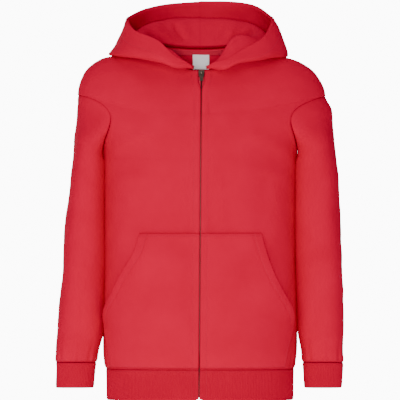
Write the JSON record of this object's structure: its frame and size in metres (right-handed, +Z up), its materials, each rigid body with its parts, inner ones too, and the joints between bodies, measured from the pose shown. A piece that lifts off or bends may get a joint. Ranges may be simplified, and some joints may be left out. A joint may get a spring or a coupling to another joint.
{
  "type": "children's hooded sweatshirt",
  "caption": "Child's red zip-front hooded sweatshirt with split front pockets and ribbed cuffs and hem, hollow and filled out as worn, hood thrown back.",
  "frame": {"origin": "middle of the neck opening, at the height of the tops of the shoulders", "axes": "+Z up along the body, the wearer faces -Y, +X is the wearer's left"},
  "size_m": [0.4326, 0.2507, 0.596],
  "materials": {
    "fleece": "matt brushed sweatshirt fleece",
    "rib_knit": "matt fine rib knit",
    "woven_tape": "woven tape",
    "label_satin": "bare woven satin",
    "dark_brass": "aged, dark"
  },
  "bodies": {
    "garment": {"back": "fleece", "front_left": "fleece", "front_right": "fleece", "sleeve_left": "fleece", "sleeve_right": "fleece", "hood_left": "fleece", "hood_right": "fleece", "hood_lining_left": "fleece", "hood_lining_right": "fleece", "pocket_left": "fleece", "pocket_right": "fleece", "waistband": "rib_knit", "cuff_left": "rib_knit", "cuff_right": "rib_knit", "zip_tape_left": "woven_tape", "zip_tape_right": "woven_tape", "neck_tape": "woven_tape", "neck_label": "label_satin", "zip_chain_left": "dark_brass", "zip_chain_right": "dark_brass", "zip_slider": "dark_brass"},
    "pull": {"zip_pull": "dark_brass"}
  },
  "joints": [
    {"name": "pull_hinge", "type": "hinge", "parent": "garment", "child": "pull", "pos_m": [0.00215, -0.06625, -0.01976], "axis": [-1, 0, 0], "range_deg": [0, 170]}
  ]
}
